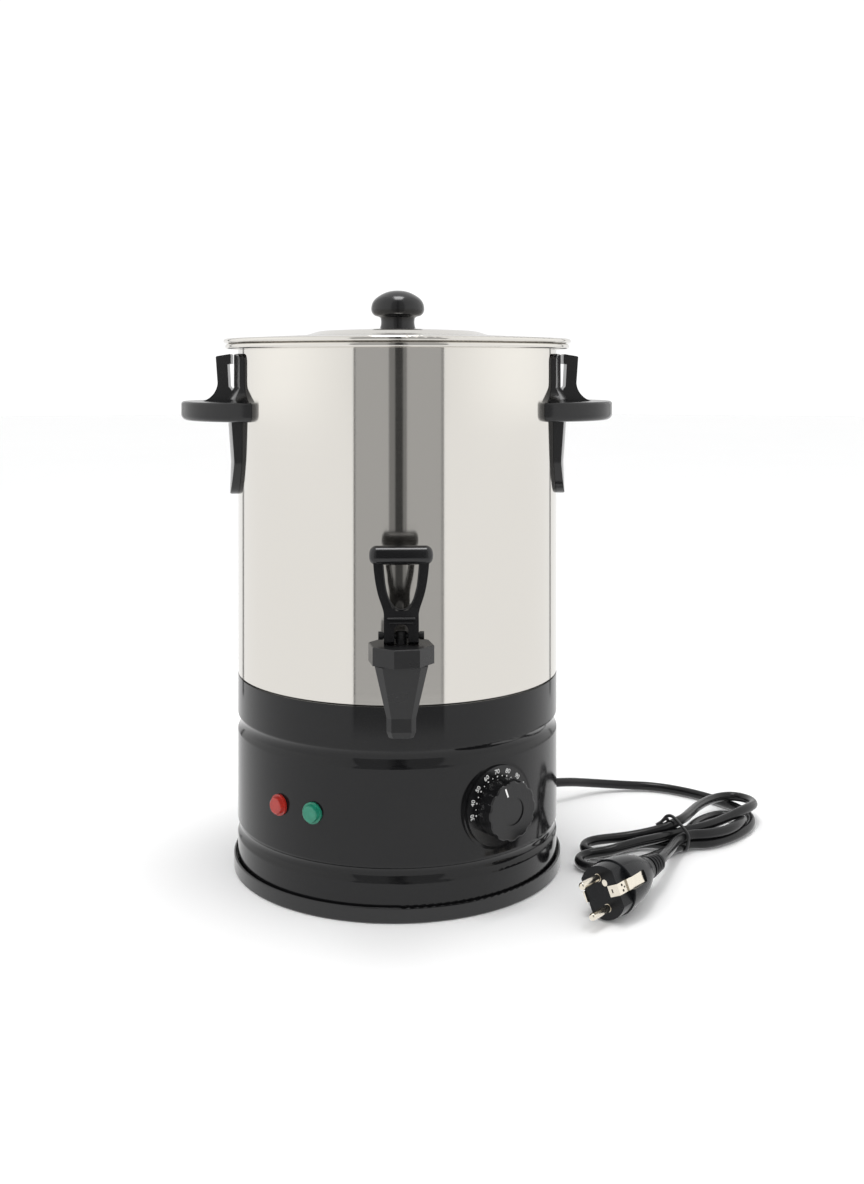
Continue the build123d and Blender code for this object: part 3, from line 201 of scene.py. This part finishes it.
def smooth_curve(name, points, radius):
    """A round NURBS line through listed control points, given in millimetres."""
    data = bpy.data.curves.new(name, "CURVE")
    data.dimensions = "3D"
    data.bevel_depth = 1.0  # each point's own radius sets the thickness, and the curve's box with it
    data.bevel_resolution = 8
    data.resolution_u = 10
    data.use_fill_caps = True
    spline = data.splines.new("NURBS")
    spline.points.add(len(points) - 1)
    for point, place in zip(spline.points, points):
        point.co = (*(Vector(place) * MM), 1.0)
        point.radius = radius
    spline.order_u = 3
    spline.use_endpoint_u = True
    piece = bpy.data.objects.new(name, data)
    bpy.context.collection.objects.link(piece)
    return piece


cord_points = [
    *SUPPLY,
    *FIRST_RIGHT,
    *at_tie(-3.6, 4.5, True),
    *FIRST_LEFT,
    *at_tie(3.6, 11.4, False),
    *SECOND_RIGHT,
    *SECOND_LEFT,
    *at_tie(3.6, 4.5, False),
    *THIRD_RIGHT,
    *LEAD,
]
cord = smooth_curve("mains_cord", cord_points, CORD_D / 2)

# the coated wire tie: a short tail, a small loop, once round the strands, and the other tail;
# each point is its sidestep, its height and its step along the bundle
TIE_POINTS = [
    (15.4, 15.8, -7.6),
    (13.6, 17.4, -4.8),
    (12.6, 19.8, -2.6),
    (10.6, 22.8, -1.6),
    (6.4, 24.0, -1.0),
    (2.4, 22.4, -0.4),
    (-2.4, 19.2, 0),
    (-7.6, 16.4, 0),
    (-10.6, 12.6, 0),
    (-9.6, 7.4, 0),
    (-7.6, 2.0, 0),
    (-2.0, 0.9, 0),
    (3.0, 0.9, 0),
    (7.6, 1.6, 0),
    (8.5, 6.0, 0),
    (8.8, 12.4, 0),
    (11.2, 17.2, 0),
    (9.4, 20.8, -1.2),
    (11.8, 20.6, -3.0),
    (14.2, 16.2, -5.6),
]
tie_path = [TIE_AT + TIE_SIDE * a + TIE_DIR * c + Vector((0, 0, b)) for a, b, c in TIE_POINTS]
TIE_WIRE_R = 1.15 * MM
tie = smooth_curve("cord_tie_wire", tie_path, TIE_WIRE_R)
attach(tie, "root")
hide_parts("cord_tie")
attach(cord, "root")
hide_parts("power_cord", "cord_hank", "plug_lead")


# ---- materials ----
def new_material(name, color, roughness, metallic=0.0, coat=0.0, specular=0.5):
    """A principled material and its node tree, with its even values on the shader itself."""
    material = bpy.data.materials.new(name)
    material.use_nodes = True
    tree = material.node_tree
    shader = tree.nodes["Principled BSDF"]
    shader.inputs["Base Color"].default_value = (*color, 1)
    shader.inputs["Roughness"].default_value = roughness
    shader.inputs["Metallic"].default_value = metallic
    shader.inputs["Coat Weight"].default_value = coat
    shader.inputs["Coat Roughness"].default_value = 0.06
    shader.inputs["Specular IOR Level"].default_value = specular
    return material, tree, shader


def noise(tree, stretch, detail=3.0, place=(0, 0, 0)):
    """Noise over the object's own coordinates, stretched per axis."""
    where = tree.nodes.new("ShaderNodeTexCoord")
    mapping = tree.nodes.new("ShaderNodeMapping")
    mapping.inputs["Scale"].default_value = stretch
    mapping.inputs["Location"].default_value = place
    texture = tree.nodes.new("ShaderNodeTexNoise")
    texture.inputs["Scale"].default_value = 1.0
    texture.inputs["Detail"].default_value = detail
    tree.links.new(where.outputs["Object"], mapping.inputs["Vector"])
    tree.links.new(mapping.outputs["Vector"], texture.inputs["Vector"])
    return texture.outputs["Fac"]


def spread(tree, value, low, high, start=0.3, stop=0.7):
    """Maps a noise value onto a range."""
    span = tree.nodes.new("ShaderNodeMapRange")
    span.inputs["From Min"].default_value = start
    span.inputs["From Max"].default_value = stop
    span.inputs["To Min"].default_value = low
    span.inputs["To Max"].default_value = high
    tree.links.new(value, span.inputs["Value"])
    return span.outputs["Result"]


def tint(tree, value, first, second):
    """Mixes two colours by a value."""
    mix = tree.nodes.new("ShaderNodeMix")
    mix.data_type = "RGBA"
    mix.inputs["A"].default_value = (*first, 1)
    mix.inputs["B"].default_value = (*second, 1)
    tree.links.new(value, mix.inputs["Factor"])
    return mix.outputs["Result"]


def bump(tree, shader, value, strength, distance):
    """Raises the surface by a value."""
    node = tree.nodes.new("ShaderNodeBump")
    node.inputs["Strength"].default_value = strength
    node.inputs["Distance"].default_value = distance
    tree.links.new(value, node.inputs["Height"])
    tree.links.new(node.outputs["Normal"], shader.inputs["Normal"])


def brushed_steel():
    """Stainless sheet with fine brush lines round the axis and faint handling marks."""
    material, tree, shader = new_material("brushed_stainless", (0.75, 0.725, 0.68), 0.10, 1.0)
    lines = noise(tree, (5, 5, 2600), 2.0)
    clouds = noise(tree, (9, 9, 5), 4.0)
    shader.inputs["Anisotropic"].default_value = 0.8
    shader.inputs["Anisotropic Rotation"].default_value = 0.25
    tangent = tree.nodes.new("ShaderNodeTangent")
    tangent.direction_type = "RADIAL"
    tangent.axis = "Z"
    tree.links.new(tangent.outputs["Tangent"], shader.inputs["Tangent"])
    rough = tree.nodes.new("ShaderNodeMath")
    rough.operation = "ADD"
    tree.links.new(spread(tree, lines, 0.075, 0.115), rough.inputs[0])
    tree.links.new(spread(tree, clouds, -0.01, 0.015), rough.inputs[1])
    tree.links.new(rough.outputs["Value"], shader.inputs["Roughness"])
    sheet = tint(tree, clouds, (0.74, 0.715, 0.67), (0.76, 0.735, 0.69))
    tree.links.new(sheet, shader.inputs["Base Color"])
    bump(tree, shader, lines, 0.015, 0.0001)
    return material


def worked_metal(name, color, roughness, grain):
    """Small metal pieces: slightly uneven finish and colour."""
    material, tree, shader = new_material(name, color, roughness, 1.0)
    mottled = noise(tree, (grain, grain, grain), 3.0)
    darker = tuple(c * 0.86 for c in color)
    tree.links.new(tint(tree, mottled, darker, color), shader.inputs["Base Color"])
    tree.links.new(spread(tree, mottled, roughness * 0.8, roughness * 1.25), shader.inputs["Roughness"])
    bump(tree, shader, mottled, 0.05, 0.0001)
    return material


def moulded(name, color, roughness, grain=900, relief=0.05, specular=0.5):
    """Moulded plastic or rubber: fine texture, with faint smears in its gloss."""
    material, tree, shader = new_material(name, color, roughness, specular=specular)
    fine = noise(tree, (grain, grain, grain), 2.0)
    smears = noise(tree, (28, 28, 40), 4.0)
    lighter = tuple(min(1.0, c * 1.3 + 0.002) for c in color)
    tree.links.new(tint(tree, smears, color, lighter), shader.inputs["Base Color"])
    tree.links.new(spread(tree, smears, roughness * 0.82, roughness * 1.22), shader.inputs["Roughness"])
    bump(tree, shader, fine, relief, 0.0002)
    return material


def enamel():
    """Gloss black paint on sheet steel, with a faint ripple."""
    material, tree, shader = new_material("black_enamel", (0.006, 0.006, 0.0065), 0.10, specular=0.35)
    ripple = noise(tree, (90, 90, 90), 2.0)
    dust = noise(tree, (26, 26, 34), 5.0, (3, 1, 2))
    tree.links.new(spread(tree, dust, 0.07, 0.14), shader.inputs["Roughness"])
    paint = tint(tree, dust, (0.0055, 0.0055, 0.006), (0.008, 0.008, 0.0085))
    tree.links.new(paint, shader.inputs["Base Color"])
    bump(tree, shader, ripple, 0.02, 0.0004)
    return material


def lens(name, color, deep):
    """Translucent coloured lens, denser in places."""
    material, tree, shader = new_material(name, color, 0.12, 0.0, 0.3)
    shader.inputs["Transmission Weight"].default_value = 0.35
    shader.inputs["IOR"].default_value = 1.49
    cloud = noise(tree, (260, 260, 260), 2.0)
    tree.links.new(tint(tree, cloud, deep, color), shader.inputs["Base Color"])
    bump(tree, shader, cloud, 0.04, 0.0002)
    return material


STEEL = brushed_steel()
ENAMEL = enamel()
GRIP = moulded("polished_black_plastic", (0.006, 0.006, 0.0065), 0.16, 700, 0.02)
FOOT = moulded("foot_black_plastic", (0.006, 0.006, 0.0065), 0.2, 700, 0.03)
TAP = moulded("satin_tap_plastic", (0.010, 0.010, 0.0105), 0.32, 1100, 0.08, specular=0.4)
PLUG = moulded("plug_plastic", (0.006, 0.0065, 0.0075), 0.26, 900, 0.08, specular=0.2)
SHEATH = moulded("cord_pvc", (0.006, 0.006, 0.0065), 0.24, 600, 0.05, specular=0.32)
PRINT_BLACK = moulded("scale_lacquer", (0.006, 0.006, 0.0065), 0.22, 900, 0.03)
WHITE_INK = moulded("white_ink", (0.80, 0.80, 0.78), 0.45, 900, 0.03)
WHITE_PLASTIC = moulded("white_plastic", (0.72, 0.71, 0.66), 0.40, 900, 0.06)
PHENOLIC = moulded("dark_phenolic", (0.07, 0.055, 0.045), 0.45, 900, 0.10)
SILICONE = moulded("silicone_seal", (0.50, 0.48, 0.45), 0.50, 900, 0.05)
WIRE_RED = moulded("wire_insulation", (0.42, 0.16, 0.09), 0.40, 900, 0.05)
TIE_WRAP = moulded("tie_coating", (0.012, 0.012, 0.013), 0.38, 900, 0.08)
ZINC = worked_metal("zinc_plated", (0.60, 0.60, 0.58), 0.30, 300)
BRIGHT = worked_metal("bright_stainless", (0.72, 0.71, 0.69), 0.18, 260)
DARK_STEEL = worked_metal("oxidised_tube", (0.30, 0.28, 0.26), 0.42, 180)
ALUMINIUM = worked_metal("cast_aluminium", (0.76, 0.76, 0.77), 0.42, 400)
BRASS = worked_metal("turned_brass", (0.72, 0.52, 0.22), 0.28, 300)
COPPER = worked_metal("drawn_copper", (0.72, 0.36, 0.22), 0.26, 300)
NICKEL = worked_metal("nickel_plate", (0.86, 0.80, 0.69), 0.20, 300)
# dark brown for the near earth clip's slot and dimple holes: painted shade standing in for the openings
SLOT_SHADE = moulded("painted_slot_shade", (0.03, 0.026, 0.02), 0.5, 900, 0.05, specular=0.2)
RED_LENS = lens("red_lens", (0.62, 0.045, 0.03), (0.36, 0.015, 0.01))
GREEN_LENS = lens("green_lens", (0.03, 0.36, 0.23), (0.01, 0.2, 0.12))

BY_SLOT = {
    "vessel_steel": STEEL,
    "base_enamel": ENAMEL,
    "foot_plastic": FOOT,
    "grip_plastic": GRIP,
    "tap_plastic": TAP,
    "scale_print": PRINT_BLACK,
    "red_lens": RED_LENS,
    "green_lens": GREEN_LENS,
    "white_plastic": WHITE_PLASTIC,
    "thermostat_case": PHENOLIC,
    "zinc_steel": ZINC,
    "stainless_small": BRIGHT,
    "element_steel": DARK_STEEL,
    "plate_aluminium": ALUMINIUM,
    "insert_brass": BRASS,
    "capillary_copper": COPPER,
    "seal_silicone": SILICONE,
    "cord_sheath": SHEATH,
    "wire_insulation": WIRE_RED,
    "plug_plastic": PLUG,
    "plug_metal": NICKEL,
    "tie_wrap": TIE_WRAP,
}
for entry in frame["record"]["subparts"]:
    data = frame["nodes"][entry["node"]].data
    data.materials.clear()
    data.materials.append(BY_SLOT[entry["material_slot"]])
cord.data.materials.append(SHEATH)
tie.data.materials.append(TIE_WRAP)


# ---- pieces ----
def finished(made, name):
    """Turns built faces into a mesh of this name."""
    mesh = bpy.data.meshes.new(name)
    made.to_mesh(mesh)
    made.free()
    return mesh


def add_piece(name, mesh, material, body):
    """Links a mesh as a piece that rides on a body."""
    piece = bpy.data.objects.new(name, mesh)
    bpy.context.collection.objects.link(piece)
    mesh.materials.clear()
    mesh.materials.append(material)
    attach(piece, body)
    return piece


def dial_axes():
    """The dial's directions, to its right and out of its face."""
    az = radians(DIAL_AZ)
    return Vector((cos(az), sin(az), 0)), Vector((sin(az), -cos(az), 0))


def dial_point(angle, radius, face):
    """A point on the dial: angle counterclockwise from the right, radius, distance from the axis."""
    across, out = dial_axes()
    turn = radians(angle)
    return out * face + across * (radius * cos(turn)) + Vector((0, 0, DIAL_Z + radius * sin(turn)))


def dial_matrix(angle, radius, face, spin):
    """Places a flat shape on the dial, turned by spin degrees in its plane."""
    across, out = dial_axes()
    up = Vector((0, 0, 1))
    basis = Matrix((across, up, out)).transposed().to_4x4()
    place = Matrix.Translation(dial_point(angle, radius, face))
    return place @ basis @ Matrix.Rotation(radians(spin), 4, "Z")


def text_mesh(words, size):
    """Figures as a thin mesh, centred on the origin."""
    data = bpy.data.curves.new("figures", "FONT")
    data.body = words
    data.size = size
    data.align_x = "CENTER"
    data.align_y = "CENTER"
    data.extrude = 0.00003
    data.resolution_u = 4
    holder = bpy.data.objects.new("figures", data)
    bpy.context.collection.objects.link(holder)
    bpy.context.view_layer.update()
    shown = holder.evaluated_get(bpy.context.evaluated_depsgraph_get())
    mesh = bpy.data.meshes.new_from_object(shown)
    bpy.data.objects.remove(holder)
    return mesh


def dial_figures():
    """Temperatures printed round the thermostat's knob, with a ring of dots inside them."""
    printed = bmesh.new()
    for index, value in enumerate(range(30, 101, 10)):
        angle = FIGURE_START - FIGURE_STEP * index
        figure = text_mesh(str(value), FIGURE_SIZE)
        figure.transform(dial_matrix(angle, FIGURE_RADIUS, SCALE_FACE + INK_LIFT, angle - 90))
        printed.from_mesh(figure)
        bpy.data.meshes.remove(figure)
    for index in range(DOT_COUNT):
        size = (BIG_DOT if index % 2 == 0 else SMALL_DOT) * MM
        angle = FIGURE_START - FIGURE_STEP * index / 2
        spot = dial_matrix(angle, DOT_RADIUS, SCALE_FACE + INK_LIFT, 0)
        bmesh.ops.create_cone(
            printed, cap_ends=True, segments=16, radius1=size, radius2=size, depth=0.00006, matrix=spot
        )
    return finished(printed, "dial_figures")


add_piece("dial_figures", dial_figures(), WHITE_INK, "root")


def pointer_line():
    """The white line let into the knob's face."""
    made = bmesh.new()
    middle = dial_matrix(POINTER_ANGLE, POINTER_RADIUS, KNOB_FACE + POINTER_LIFT, POINTER_ANGLE - 90)
    bmesh.ops.create_cube(made, size=1.0, matrix=middle @ Matrix.Diagonal((*POINTER_SIZE, 1)))
    return finished(made, "knob_pointer")


add_piece("knob_pointer", pointer_line(), WHITE_INK, "dial")


# ---- lever and plug details (millimetres) ----
BEAD_R = 0.45
RIDGE_R = 0.7
RIDGE_Y = -161.2


def tube_mesh(name, points, radius):
    """A round wire or bead along a smooth line, as a mesh. Points are in millimetres."""
    guide = smooth_curve(name, points, radius)
    guide.data.bevel_resolution = 4
    bpy.context.view_layer.update()
    shown = guide.evaluated_get(bpy.context.evaluated_depsgraph_get())
    mesh = bpy.data.meshes.new_from_object(shown)
    bpy.data.objects.remove(guide)
    mesh.name = name
    for face in mesh.polygons:
        face.use_smooth = True
    return mesh


def lever_front(z):
    """Where the lever's front face stands at a height, in millimetres."""
    return -156.2 + (z - 209.0) * 2.4 / 27.0


def lever_loop_bead():
    """The raised edge round the inside of the lever's loop."""
    half = [(2.6, 207.6), (6.6, 211.4), (9.3, 218.5), (10.6, 227.5), (11.1, 234.5)]
    outline = [(-x, z) for x, z in reversed(half)] + half
    return tube_mesh("lever_loop_bead", [(x, lever_front(z) + 0.1, z) for x, z in outline], BEAD_R * MM)


def lever_ridge(name, half_width, z):
    """One of the two thumb ridges under the lever's loop."""
    points = [(x * half_width, RIDGE_Y, z) for x in (-1, -0.5, 0, 0.5, 1)]
    return tube_mesh(name, points, RIDGE_R * MM)


add_piece("lever_loop_bead", lever_loop_bead(), GRIP, "lever")
for name, half_width, z in (("lever_ridge_upper", 8.4, 203.2), ("lever_ridge_lower", 7.4, 200.6)):
    add_piece(name, lever_ridge(name, half_width, z), GRIP, "lever")


def plug_matrix(across, along, out):
    """Places a shape on the plug's face: across to the earth clip, along the pins, out of the face."""
    level = Vector((PLUG_DIR.y, -PLUG_DIR.x, 0))
    side = level * cos(PIN_TILT) + Vector((0, 0, sin(PIN_TILT)))
    pins = (-PLUG_DIR).cross(side)
    basis = Matrix((side, pins, -PLUG_DIR)).transposed().to_4x4()
    place = PLUG_FACE + side * across + pins * along - PLUG_DIR * out
    return Matrix.Translation(place * MM) @ basis


DISC_DEPTH = 0.0003  # metres


def plug_detail(name, boxes=(), discs=()):
    """Small flat marks on the plug, as boxes and discs. Places and sizes are in millimetres."""
    made = bmesh.new()
    for place, size in boxes:
        stretch = Matrix.Diagonal((*(Vector(size) * MM), 1))
        bmesh.ops.create_cube(made, size=1.0, matrix=plug_matrix(*place) @ stretch)
    for place, radius, turn in discs:
        facing = Matrix.Rotation(radians(turn), 4, "Y")
        bmesh.ops.create_cone(
            made,
            cap_ends=True,
            segments=24,
            radius1=radius * MM,
            radius2=radius * MM,
            depth=DISC_DEPTH,
            matrix=plug_matrix(*place) @ facing,
        )
    return finished(made, name)


CLIP_FRONT = 1.2  # the near earth clip's fold stands this far out of the face
CLIP_SIDE = 14.15  # and its strip this far from the plug's axis
# the near clip's slot and dimple holes are flat dark marks: painted shade where the clip has openings
clip_shade_marks = plug_detail(
    "clip_shade_marks",
    boxes=[((9.0, 0, CLIP_FRONT), (0.9, 2.4, 0.12))],
    discs=[
        ((CLIP_SIDE, 1.7, -3.4), 0.8, 90),
        ((CLIP_SIDE, -1.7, -3.4), 0.8, 90),
        ((CLIP_SIDE, 0, -5.6), 0.6, 90),
    ],
)
add_piece("clip_shade_marks", clip_shade_marks, SLOT_SHADE, "root")
earth_contact = plug_detail("earth_contact", discs=[((3.8, 5.5, -0.6), 2.1, 0)])
add_piece("earth_contact", earth_contact, NICKEL, "root")


def add_return_spring():
    """The spring rides up with the stem from below."""
    node = frame["nodes"]["tap_spring"]
    spring = bpy.data.objects.new("return_spring", node.data.copy())
    spring.matrix_world = node.matrix_world.copy()
    bpy.context.collection.objects.link(spring)
    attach(spring, "stem")
    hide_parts("tap_spring")
    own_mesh(spring)


add_return_spring()


# ---- floor and light (metres) ----
FLOOR_RADIUS = 9.0
FLOOR_DROP = 0.0002
FLOOR_CARD_RADIUS = 8.9
CARD_RADIUS = 0.55
CARD_HEIGHT = 1.3
CARD_LIFT = 0.001
CARD_STEP = 3  # degrees
WALL_SHADE = 0.32 / 0.72  # shows as 0.32 in steel that reflects 0.72
ARC_CARDS = [  # name, from and to in degrees from the front, shade
    ("wall_left", -26.8, -6.2, WALL_SHADE),
    ("gap_left", -6.2, -2.4, 0.21),
    ("gap_middle", -2.4, 2.4, 0.045),
    ("gap_right", 2.4, 4.8, 0.21),
    ("wall_right", 4.8, 26.0, WALL_SHADE),
    ("edge_left", -28.0, -26.8, 0.2),
    ("edge_right", 26.0, 27.8, 0.3),
    ("far_edge_left", -135.5, -131.5, 0.27),
    ("far_edge_right", 127.0, 130.0, 0.2),
]


def disc_mesh(name, radius):
    """A flat round mesh."""
    made = bmesh.new()
    bmesh.ops.create_circle(made, cap_ends=True, segments=96, radius=radius)
    return finished(made, name)


def add_floor():
    """A wide pale floor."""
    mesh = disc_mesh("floor", FLOOR_RADIUS)
    floor = bpy.data.objects.new("floor", mesh)
    floor.location = (0, 0, -FLOOR_DROP)
    bpy.context.collection.objects.link(floor)
    material, tree, shader = new_material("floor_paper", (0.93, 0.93, 0.93), 0.6, specular=0.1)
    patchy = noise(tree, (3, 3, 3), 2.0)
    paper = tint(tree, patchy, (0.925, 0.927, 0.93), (0.94, 0.94, 0.942))
    tree.links.new(paper, shader.inputs["Base Color"])
    mesh.materials.append(material)


def add_softbox(name, place, towards, width, height, power, glossy=False):
    """A rectangular light facing a point, unseen by the camera, and in reflections if asked."""
    data = bpy.data.lights.new(name, "AREA")
    data.shape = "RECTANGLE"
    data.size = width
    data.size_y = height
    data.energy = power
    light = bpy.data.objects.new(name, data)
    light.location = place
    light.rotation_euler = (Vector(towards) - Vector(place)).to_track_quat("-Z", "Y").to_euler()
    light.visible_camera = False
    light.visible_glossy = glossy
    bpy.context.collection.objects.link(light)


def add_open_sky():
    """A very wide, faint sun that lights the far floor as evenly as the near."""
    data = bpy.data.lights.new("open_sky", "SUN")
    data.energy = 0.43
    data.angle = radians(70)
    light = bpy.data.objects.new("open_sky", data)
    light.rotation_euler = (radians(24), radians(-18), 0)
    light.visible_glossy = False
    bpy.context.collection.objects.link(light)


def glossy_card(name, mesh, shade):
    """Links a mesh as an even glow that is seen only in reflections."""
    card = bpy.data.objects.new(name, mesh)
    bpy.context.collection.objects.link(card)
    material = bpy.data.materials.new(name)
    material.use_nodes = True
    tree = material.node_tree
    tree.nodes.clear()
    output = tree.nodes.new("ShaderNodeOutputMaterial")
    glow = tree.nodes.new("ShaderNodeEmission")
    glow.inputs["Color"].default_value = (shade, shade, shade, 1)
    tree.links.new(glow.outputs["Emission"], output.inputs["Surface"])
    mesh.materials.append(material)
    card.visible_camera = False
    card.visible_diffuse = False
    card.visible_shadow = False
    card.visible_transmission = False


def add_floor_card(name, radius, shade):
    """A disc just over the floor, which evens out what the polished sides reflect of it."""
    glossy_card(name, disc_mesh(name, radius), shade)


def add_arc_card(name, low, high, shade):
    """A studio card, curved round the vessel between two angles from the front, seen only in gloss."""
    made = bmesh.new()
    steps = max(2, round((high - low) / CARD_STEP))
    rows = []
    for index in range(steps + 1):
        turn = radians(low + (high - low) * index / steps)
        foot = Vector((CARD_RADIUS * sin(turn), -CARD_RADIUS * cos(turn), CARD_LIFT))
        rows.append((made.verts.new(foot), made.verts.new(foot + Vector((0, 0, CARD_HEIGHT)))))
    for (low_a, high_a), (low_b, high_b) in zip(rows, rows[1:]):
        made.faces.new((low_a, low_b, high_b, high_a))
    glossy_card(name, finished(made, name), shade)


def add_world():
    """White surroundings, a little brighter to the sides than behind the camera."""
    world = bpy.data.worlds.new("studio")
    bpy.context.scene.world = world
    world.use_nodes = True
    tree = world.node_tree
    background = tree.nodes["Background"]
    background.inputs["Strength"].default_value = 1.08
    where = tree.nodes.new("ShaderNodeTexCoord")
    parts = tree.nodes.new("ShaderNodeSeparateXYZ")
    square = tree.nodes.new("ShaderNodeMath")
    square.operation = "MULTIPLY"
    tree.links.new(where.outputs["Generated"], parts.inputs["Vector"])
    tree.links.new(parts.outputs["X"], square.inputs[0])
    tree.links.new(parts.outputs["X"], square.inputs[1])
    sides = tint(tree, square.outputs["Value"], (0.80, 0.80, 0.80), (1.08, 1.08, 1.07))
    seen = tree.nodes.new("ShaderNodeLightPath")
    mix = tree.nodes.new("ShaderNodeMix")
    mix.data_type = "RGBA"
    mix.inputs["B"].default_value = (1, 1, 1, 1)
    tree.links.new(seen.outputs["Is Camera Ray"], mix.inputs["Factor"])
    tree.links.new(sides, mix.inputs["A"])
    tree.links.new(mix.outputs["Result"], background.inputs["Color"])


def add_studio():
    """The surroundings, soft light from above, and the cards seen in the polished steel."""
    add_world()
    add_softbox("key_box", (-0.9, -1.3, 1.9), (0, 0, 0.1), 1.6, 1.6, 5)
    add_softbox("top_box", (0.2, 0.3, 2.4), (0, 0, 0.1), 2.4, 2.0, 2)
    add_softbox("gloss_box", (0.05, 0.0, 1.7), (0, 0, 0.2), 0.7, 0.5, 8, glossy=True)
    add_open_sky()
    add_floor_card("floor_card", FLOOR_CARD_RADIUS, 0.99)
    for name, low, high, shade in ARC_CARDS:
        add_arc_card(name, low, high, shade)


add_floor()
add_studio()
bpy.context.scene.view_settings.view_transform = "Standard"
